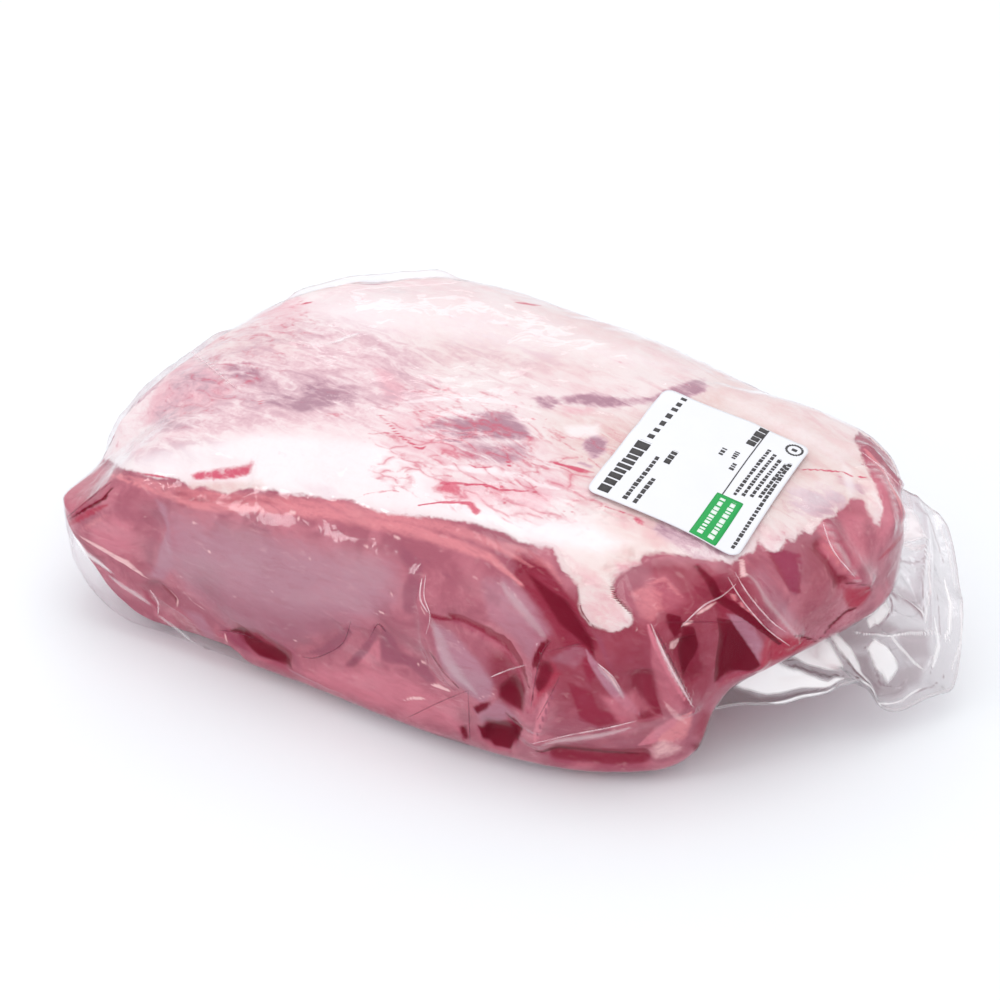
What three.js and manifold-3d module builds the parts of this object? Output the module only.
// A block of pork leg, vacuum-packed in a clear shrink bag and labelled on top.
//
// Millimetres, +Z up. The pack lies on its flat underside: +X runs along the block towards the
// loose end of the bag, and -Y is the long front face. The block is one lump: a plan outline at the
// height of its widest girth, a top surface with a height of its own at the front and at the back,
// and rounded sides between them. Film folds and muscle seams are ridges and furrows pressed into
// that lump, and the bag's loose corner is a wavy two-layer flap joined to its right-hand end.

import * as THREE from "three";
import { mergeVertices } from "three/addons/utils/BufferGeometryUtils.js";
import Module from "manifold-3d";

// ---------------------------------------------------------------- driving dimensions

// Plan outline of the block at its widest girth, counter-clockwise from the right-hand end.
const OUTLINE = [
  [122, 15], [115, 38], [98, 55], [68, 59], [35, 60], [0, 60], [-38, 58], [-74, 46], [-98, 19],
  [-110, -18], [-112, -58], [-106, -91], [-66, -89], [-22, -85], [22, -82], [66, -73], [96, -52],
  [111, -20],
];
const CORE = [0, -10]; // the point in plan that the outline closes in on

// Height of the top surface along the front shoulder and along the back shoulder.
const TOP = {
  stations: [-110, -60, 0, 50, 110],
  front: [66, 76, 78, 74, 71],
  back: [78, 86, 83, 80, 74],
  acrossY: [-75, 45],
};

// The sides stand out furthest at the girth, which rises towards both ends. The front left-hand
// corner is drawn down and out into a tip that hangs clear of the table.
const GIRTH_HEIGHT = 27;
const RIGHT_END = { x: [80, 115], girthRise: 12 };
const TIP = { x: [-78, -110], y: [-45, -95], girthRise: 17, topDrop: 24 };

// How square the sides are above and below the girth, as exponents of a superellipse.
const SQUARENESS = {
  top: 3.6,
  topLeft: { x: [-85, -110], y: [-75, -50], more: 2.5 },
  topRight: { x: [80, 108], more: 1.8 },
  base: 7.5,
  baseRight: { x: [90, 106], less: 4.8 },
  baseTip: { x: [-85, -105], y: [-40, -80], less: 2.5 },
};

const FLAT_BASE_DEPTH = 0.8; // the underside is pressed flat up to this height

// Faces along each side of the block, and how much they crowd towards the right-hand front corner,
// where most of the folds are.
const GRID = { alongX: 44, alongY: 27, alongZ: 17 };
const CROWDING = 0.22;

// Film folds and muscle seams: each is a line over the surface. A positive height stands proud, and
// a negative one is a furrow.
const FOLDS = [
  { name: "shoulder furrow", height: -3.6, width: 6, path: [[42, -62, 68], [60, -66, 58], [72, -68, 47]] },
  { name: "seam", height: -3.2, width: 5.5, path: [[28, -77, 51], [47, -75, 48], [55, -76, 30]] },
  { name: "front fold", height: 2.8, width: 3.6, path: [[60, -70, 52], [56, -75, 34], [55, -76, 22]] },
  { name: "pinched fold", height: 2.4, width: 3.6, path: [[65, -73, 43], [60, -76, 28], [57, -75, 14]] },
  { name: "foot pocket", height: -3.4, width: 4.6, path: [[42, -80, 15], [53, -78, 16]] },
  { name: "upright crease", height: 1.8, width: 4, path: [[21, -75, 62], [24, -80, 50], [36, -82, 30]] },
  { name: "hollow, front", height: -2.4, width: 5, path: [[6, -81, 37], [26, -82, 34]] },
  { name: "hollow, middle", height: -2.4, width: 4, path: [[4, -81, 38], [2, -82, 27], [-3, -83, 21]] },
  { name: "hollow, left", height: -2.8, width: 5, path: [[-3, -82, 36], [-10, -82, 25], [-22, -84, 16]] },
  { name: "foot crescent", height: -3, width: 4.6, path: [[-49, -88, 15], [-35, -87, 18], [-24, -85, 12]] },
  { name: "foot tuck", height: -2.4, width: 4, path: [[-80, -90, 23], [-74, -90, 15]] },
  { name: "left seam", height: -2, width: 5, path: [[-68, -87, 52], [-76, -90, 37], [-82, -91, 28]] },
  { name: "seam under the fat", height: -2, width: 4.6, path: [[-68, -78, 65], [-42, -74, 69]] },
  { name: "corner ridge", height: 3.2, width: 4, path: [[82, -56, 60], [90, -57, 46], [96, -53, 28]] },
  { name: "corner hollow", height: -3, width: 4.4, path: [[84, -62, 46], [87, -61, 26]] },
  { name: "end hollow, near", height: -3.4, width: 4.6, path: [[91, -53, 55], [96, -52, 40]] },
  { name: "end hollow", height: -3.8, width: 5.5, path: [[92, -37, 66], [102, -40, 52], [102, -41, 35]] },
  { name: "end flap", height: 2.2, width: 3.8, path: [[98, -43, 60], [106, -34, 48], [105, -33, 36]] },
  { name: "end ridge", height: 3.2, width: 3.6, path: [[97, -33, 65], [105, -31, 57], [111, -21, 40]] },
  { name: "end furrow, far", height: -3, width: 4.2, path: [[107, -6, 67], [117, -4, 52]] },
  { name: "end ridge, far", height: 3, width: 3.6, path: [[105, 0, 69], [113, -3, 62], [121, 5, 47]] },
  { name: "gather, long", height: 2.4, width: 3.6, path: [[97, 40, 70], [112, 26, 66], [119, 22, 58]] },
  { name: "gather, short", height: 2.2, width: 3.4, path: [[104, 29, 70], [119, 14, 60]] },
  { name: "foot furrow", height: -3, width: 4.4, path: [[60, -76, 12], [77, -68, 12], [89, -59, 12]] },
  { name: "back seam, left", height: -2.4, width: 5, path: [[-72, 40, 66], [-64, 50, 38], [-66, 48, 16]] },
  { name: "back seam, middle", height: -2.6, width: 5, path: [[-20, 58, 66], [-8, 61, 40], [-13, 60, 14]] },
  { name: "back ridge", height: 2.2, width: 4, path: [[-6, 58, 68], [4, 60, 40], [1, 60, 12]] },
  { name: "back seam, right", height: -2.6, width: 5, path: [[46, 56, 66], [57, 60, 40], [50, 60, 14]] },
  { name: "end seam", height: -2.6, width: 5, path: [[-107, -24, 62], [-111, -34, 40], [-109, -36, 16]] },
  { name: "left end ridge", height: 2.2, width: 4, path: [[-99, 6, 66], [-104, -4, 42], [-103, -6, 16]] },
];
const FOLD_REACH = 0.35; // how much of a line's distance off the surface counts
const RELIEF_FROM_HEIGHT = 9; // folds and swells fade out below this height, so that the base stays flat

// Broad swells and hollows of the muscles under the film.
const SWELLS = [
  { height: 2.4, spread: 26, at: [-38, -87, 42] },
  { height: 2.6, spread: 12, at: [40, -82, 38] },
  { height: 2, spread: 12, at: [74, -70, 30] },
  { height: -2, spread: 20, at: [-20, -8, 84] },
  { height: 2.2, spread: 24, at: [20, 34, 84] },
  { height: 1.6, spread: 18, at: [14, -50, 78] },
  { height: -1.8, spread: 12, at: [74, -52, 66] },
  { height: 1.8, spread: 20, at: [-84, -40, 74] },
  { height: 2, spread: 12, at: [112, -14, 54] },
  { height: 2.4, spread: 20, at: [26, 60, 40] },
  { height: 2.2, spread: 18, at: [-40, 57, 44] },
  { height: 2, spread: 16, at: [-112, -50, 40] },
];

// Outer edge of the loose corner of the bag, from the front of the right-hand end to its back.
const FLAP_EDGE = [
  [92, -46, 22], [108, -25, 18], [125, -9, 20], [133, -2, 13], [142, 11, 8], [145, 22, 13],
  [139, 36, 24], [130, 49, 32], [118, 58, 40], [98, 59, 46],
];
// Where the flap leaves the block: the stretch of the outline as shares of a full turn, how far in
// towards the core it starts, and how far below the girth.
const FLAP_ROOT = { fromTurn: -0.125, toTurn: 0.135, inset: 0.86, drop: 4 };
const FLAP_THICKNESS = { root: 9, edge: 1.3, pocket: 3.4, pocketEnd: 0.87 };
const FLAP_WAVES = { count: 5, height: 2.2 };
const FLAP_GRID = { along: 36, out: 9 };

// The paper label on the top surface, near the loose end.
const LABEL = { centre: [69.2, -6.6], turn: 5, alongX: 48, alongY: 52.5, cornerRadius: 3, thickness: 0.5 };
const LABEL_GRID = 12;
const GAP = 0.3; // between pieces that touch
const ABOVE_ALL = 200; // height from which the label is let down onto the pack

// ---------------------------------------------------------------- helpers

/** 0 before a, 1 after b, and a smooth step between them. */
function smooth(a, b, x) {
  const t = THREE.MathUtils.clamp((x - a) / (b - a), 0, 1);
  return t * t * (3 - 2 * t);
}

/** How far a place in plan is inside a zone that fades in along x, and along y if it says so. */
const zoneShare = ({ x, y }, [atX, atY]) => smooth(...x, atX) * (y ? smooth(...y, atY) : 1);

/** A smooth curve through values at stations, held level past both ends. */
function throughStations(stations, values, x) {
  const last = stations.length - 1;
  const at = THREE.MathUtils.clamp(x, stations[0], stations[last]);
  let i = 0;
  while (i < last - 1 && at > stations[i + 1]) i++;
  const slope = (k) => {
    const a = Math.max(k - 1, 0);
    const b = Math.min(k + 1, last);
    return (values[b] - values[a]) / (stations[b] - stations[a]);
  };
  const span = stations[i + 1] - stations[i];
  const t = (at - stations[i]) / span;
  return (
    (2 * t ** 3 - 3 * t ** 2 + 1) * values[i] +
    (t ** 3 - 2 * t ** 2 + t) * span * slope(i) +
    (3 * t ** 2 - 2 * t ** 3) * values[i + 1] +
    (t ** 3 - t ** 2) * span * slope(i + 1)
  );
}

/** A point on a Catmull-Rom curve through points; t runs from 0 to 1. */
function alongCurve(points, t, closed) {
  const n = points.length;
  const place = closed ? (((t % 1) + 1) % 1) * n : THREE.MathUtils.clamp(t, 0, 1) * (n - 1);
  const i = closed ? Math.floor(place) : Math.min(Math.floor(place), n - 2);
  const f = place - i;
  const point = (k) => points[closed ? (k + n) % n : THREE.MathUtils.clamp(k, 0, n - 1)];
  const [a, b, c, d] = [point(i - 1), point(i), point(i + 1), point(i + 2)];
  return b.map((_, k) => {
    const linear = c[k] - a[k];
    const square = 2 * a[k] - 5 * b[k] + 4 * c[k] - d[k];
    const cube = 3 * b[k] - a[k] - 3 * c[k] + d[k];
    return b[k] + 0.5 * (linear * f + square * f ** 2 + cube * f ** 3);
  });
}

/** Moves each vertex of a geometry to place(vertex), then merges the vertices that meet. */
function reshaped(geometry, place) {
  geometry.deleteAttribute("normal");
  geometry.deleteAttribute("uv");
  const position = geometry.getAttribute("position");
  const vertex = new THREE.Vector3();
  for (let i = 0; i < position.count; i++) {
    vertex.fromBufferAttribute(position, i);
    position.setXYZ(i, ...place(vertex).toArray());
  }
  return mergeVertices(geometry, 1e-3);
}

// ---------------------------------------------------------------- the block

function topHeight(place) {
  const front = throughStations(TOP.stations, TOP.front, place[0]);
  const back = throughStations(TOP.stations, TOP.back, place[0]);
  const across = smooth(...TOP.acrossY, place[1]);
  return front + (back - front) * across - TIP.topDrop * zoneShare(TIP, place);
}

function girthHeight(place) {
  const atRightEnd = RIGHT_END.girthRise * zoneShare(RIGHT_END, place);
  return GIRTH_HEIGHT + TIP.girthRise * zoneShare(TIP, place) + atRightEnd;
}

/** The exponent of the side's section, at a point of the plan outline. */
function squarenessAt(edge, above) {
  const { top, topLeft, topRight, base, baseRight, baseTip } = SQUARENESS;
  return above
    ? top + topLeft.more * zoneShare(topLeft, edge) + topRight.more * zoneShare(topRight, edge)
    : base - baseRight.less * zoneShare(baseRight, edge) - baseTip.less * zoneShare(baseTip, edge);
}

/** The point in plan that is a share of the way from the core to an edge. */
const fromCore = (edge, share) => CORE.map((c, k) => c + (edge[k] - c) * share);

/** The point of the block's surface that lies in a direction from its middle. */
function onBlock(direction) {
  const d = direction.clone().normalize();
  const level = Math.hypot(d.x, d.y);
  const edge = alongCurve(OUTLINE, Math.atan2(d.y, d.x) / (2 * Math.PI), true);
  const squareness = squarenessAt(edge, d.z > 0);
  const scale = (level ** squareness + Math.abs(d.z) ** squareness) ** (-1 / squareness);
  const place = fromCore(edge, level * scale);
  const girth = girthHeight(place);
  const up = d.z * scale;
  const height = up > 0 ? topHeight(place) - girth : girth;
  return new THREE.Vector3(...place, girth + height * up);
}

/** How much one fold raises the surface at a point whose outward normal is way. */
function foldLift(fold, point, way) {
  let nearest = Infinity;
  let share = 0;
  const steps = fold.path.length - 1;
  fold.path.slice(1).forEach((end, k) => {
    const line = new THREE.Line3(new THREE.Vector3(...fold.path[k]), new THREE.Vector3(...end));
    const t = line.closestPointToPointParameter(point, true);
    const away = line.at(t, new THREE.Vector3()).sub(point);
    away.addScaledVector(way, (FOLD_REACH - 1) * away.dot(way));
    if (away.length() < nearest) {
      nearest = away.length();
      share = (k + t) / steps;
    }
  });
  const taper = smooth(-0.04, 0.14, share) * smooth(1.04, 0.86, share);
  return fold.height * taper * Math.exp(-((nearest / fold.width) ** 2));
}

function swellLift({ height, spread, at }, point) {
  return height * Math.exp(-point.distanceToSquared(new THREE.Vector3(...at)) / spread ** 2);
}

/** How much all the swells and folds raise the surface at a point. */
function relief(point, way) {
  const swell = SWELLS.reduce((sum, one) => sum + swellLift(one, point), 0);
  return FOLDS.reduce((sum, fold) => sum + foldLift(fold, point, way), swell);
}

function blockGeometry() {
  const { alongX, alongY, alongZ } = GRID;
  const even = (t) => Math.tan((t * Math.PI) / 4);
  const crowded = (t) => even(t + CROWDING * (1 - t * t));
  const cube = new THREE.BoxGeometry(2, 2, 2, alongX, alongY, alongZ);
  const lump = reshaped(cube, ({ x, y, z }) =>
    onBlock(new THREE.Vector3(crowded(x), -crowded(-y), even(z))),
  );
  lump.computeVertexNormals();
  const position = lump.getAttribute("position");
  const normal = lump.getAttribute("normal");
  const point = new THREE.Vector3();
  const way = new THREE.Vector3();
  for (let i = 0; i < position.count; i++) {
    point.fromBufferAttribute(position, i);
    way.fromBufferAttribute(normal, i);
    const clearOfBase = smooth(0, RELIEF_FROM_HEIGHT, point.z);
    point.addScaledVector(way, relief(point, way) * clearOfBase);
    position.setXYZ(i, point.x, point.y, Math.max(point.z - FLAT_BASE_DEPTH, 0));
  }
  lump.deleteAttribute("normal");
  return lump;
}

// ---------------------------------------------------------------- the loose corner of the bag

/** Middle of the flap: along runs from 0 at its front to 1 at its back, out from 0 in the block to 1. */
function flapMiddle(along, out) {
  const turn = THREE.MathUtils.lerp(FLAP_ROOT.fromTurn, FLAP_ROOT.toTurn, along);
  const girth = alongCurve(OUTLINE, turn, true);
  const root = new THREE.Vector3(...fromCore(girth, FLAP_ROOT.inset), girthHeight(girth) - FLAP_ROOT.drop);
  const edge = new THREE.Vector3(...alongCurve(FLAP_EDGE, along, false));
  const wave = Math.sin(along * FLAP_WAVES.count * 2 * Math.PI) * FLAP_WAVES.height;
  const middle = root.lerp(edge, out);
  middle.z += wave * out * Math.sin(Math.PI * along);
  return middle;
}

function flapGeometry() {
  const { along, out } = FLAP_GRID;
  const sheet = new THREE.BoxGeometry(1, 1, 1, along, out, 1);
  return reshaped(sheet, (v) => {
    const s = v.x + 0.5;
    const t = 0.5 - v.y;
    const outward = Math.min(t / FLAP_THICKNESS.pocketEnd, 1);
    const pocket = FLAP_THICKNESS.pocket * Math.sin(Math.PI * s) * Math.sin(Math.PI * outward);
    const thickness = THREE.MathUtils.lerp(FLAP_THICKNESS.root, FLAP_THICKNESS.edge, Math.sqrt(t)) + pocket;
    const middle = flapMiddle(s, t);
    middle.z += v.z * thickness;
    return middle;
  });
}

// ---------------------------------------------------------------- joining the bag into one solid

const wasm = await Module();
wasm.setup();

function solidFrom(geometry) {
  const mesh = new wasm.Mesh({
    numProp: 3,
    vertProperties: geometry.getAttribute("position").array,
    triVerts: new Uint32Array(geometry.index.array),
  });
  return new wasm.Manifold(mesh);
}

function geometryFrom(solid) {
  const mesh = solid.getMesh();
  const geometry = new THREE.BufferGeometry();
  geometry.setAttribute("position", new THREE.BufferAttribute(mesh.vertProperties, 3));
  geometry.setIndex(new THREE.BufferAttribute(mesh.triVerts, 1));
  geometry.computeVertexNormals();
  return geometry;
}

// ---------------------------------------------------------------- labels

/** A thin plate with round corners that follows the surface under it, gap above that surface. */
function plateOn(surface, { centre, turn, alongX, alongY, cornerRadius, thickness }, grid) {
  const ray = new THREE.Raycaster();
  const down = new THREE.Vector3(0, 0, -1);
  const angle = THREE.MathUtils.degToRad(turn);
  const plate = new THREE.BoxGeometry(alongX, alongY, thickness, grid, grid, 1);
  const near = alongY / grid / 2;
  const around = [[0, 0], [near, 0], [-near, 0], [0, near], [0, -near]];
  const groundAt = (x, y) => {
    const hits = around.map(([dx, dy]) => {
      ray.set(new THREE.Vector3(x + dx, y + dy, ABOVE_ALL), down);
      return ray.intersectObject(surface)[0].point.z;
    });
    return Math.max(...hits);
  };
  return reshaped(plate, (v) => {
    const reachX = alongX / 2 - cornerRadius;
    const reachY = alongY / 2 - cornerRadius;
    const overX = Math.max(Math.abs(v.x) - reachX, 0);
    const overY = Math.max(Math.abs(v.y) - reachY, 0);
    const pull = overX && overY ? Math.max(overX, overY) / Math.hypot(overX, overY) : 1;
    const px = Math.sign(v.x) * (Math.min(Math.abs(v.x), reachX) + overX * pull);
    const py = Math.sign(v.y) * (Math.min(Math.abs(v.y), reachY) + overY * pull);
    const x = centre[0] + px * Math.cos(angle) - py * Math.sin(angle);
    const y = centre[1] + px * Math.sin(angle) + py * Math.cos(angle);
    return new THREE.Vector3(x, y, groundAt(x, y) + GAP + thickness / 2 + v.z);
  });
}

// ---------------------------------------------------------------- the pack

const film = new THREE.MeshStandardMaterial({ color: 0xb9606f, roughness: 0.18, metalness: 0 });
const paper = new THREE.MeshStandardMaterial({ color: 0xf3f4f6, roughness: 0.55, metalness: 0 });

const pack = new THREE.Group();

const blockWithFlap = solidFrom(blockGeometry()).add(solidFrom(flapGeometry()));
const bag = new THREE.Mesh(geometryFrom(blockWithFlap), film);
bag.name = "vacuum_bag";
pack.add(bag);

const label = new THREE.Mesh(plateOn(bag, LABEL, LABEL_GRID), paper);
label.name = "paper_label";
pack.add(label);

// The origin is in the middle of the pack's footprint, on the table.
const box = new THREE.Box3().setFromObject(pack);
const middle = box.getCenter(new THREE.Vector3());
pack.position.set(-middle.x, -middle.y, -box.min.z);

export default pack;
